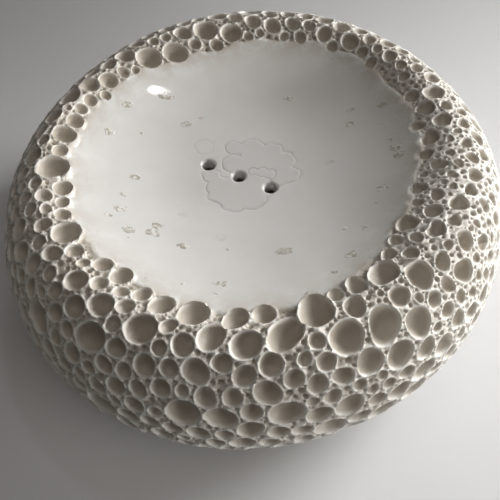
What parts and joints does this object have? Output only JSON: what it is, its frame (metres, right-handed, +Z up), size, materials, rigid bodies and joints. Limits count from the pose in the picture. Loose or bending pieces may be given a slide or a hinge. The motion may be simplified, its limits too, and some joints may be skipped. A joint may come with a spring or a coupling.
{
  "type": "flower frog",
  "caption": "Pebble-shaped ceramic flower frog: a hollow body textured with round cups, and a smooth glazed dish with a row of stem holes over a water reservoir.",
  "frame": {"origin": "centre of the flat base, on the surface it stands on", "axes": "+Z up through the dish; the row of stem holes runs across X, turned 29 degrees clockwise seen from above; -Y is the side nearest the viewer"},
  "size_m": [0.2354, 0.2407, 0.079],
  "materials": {
    "textured_clay": "matte to satin off-white, pitted all over with round cups",
    "bare_clay": "matte unglazed",
    "white_glaze": "glossy white with pale crystal flecks"
  },
  "bodies": {
    "root": {"floor_slab": "bare_clay", "floor_seam_coil": "bare_clay", "lower_wall": "textured_clay", "belly_seam_coil": "bare_clay", "upper_wall": "textured_clay", "dish_seat_coil": "bare_clay", "dish": "bare_clay", "dish_glaze": "white_glaze"}
  },
  "joints": []
}
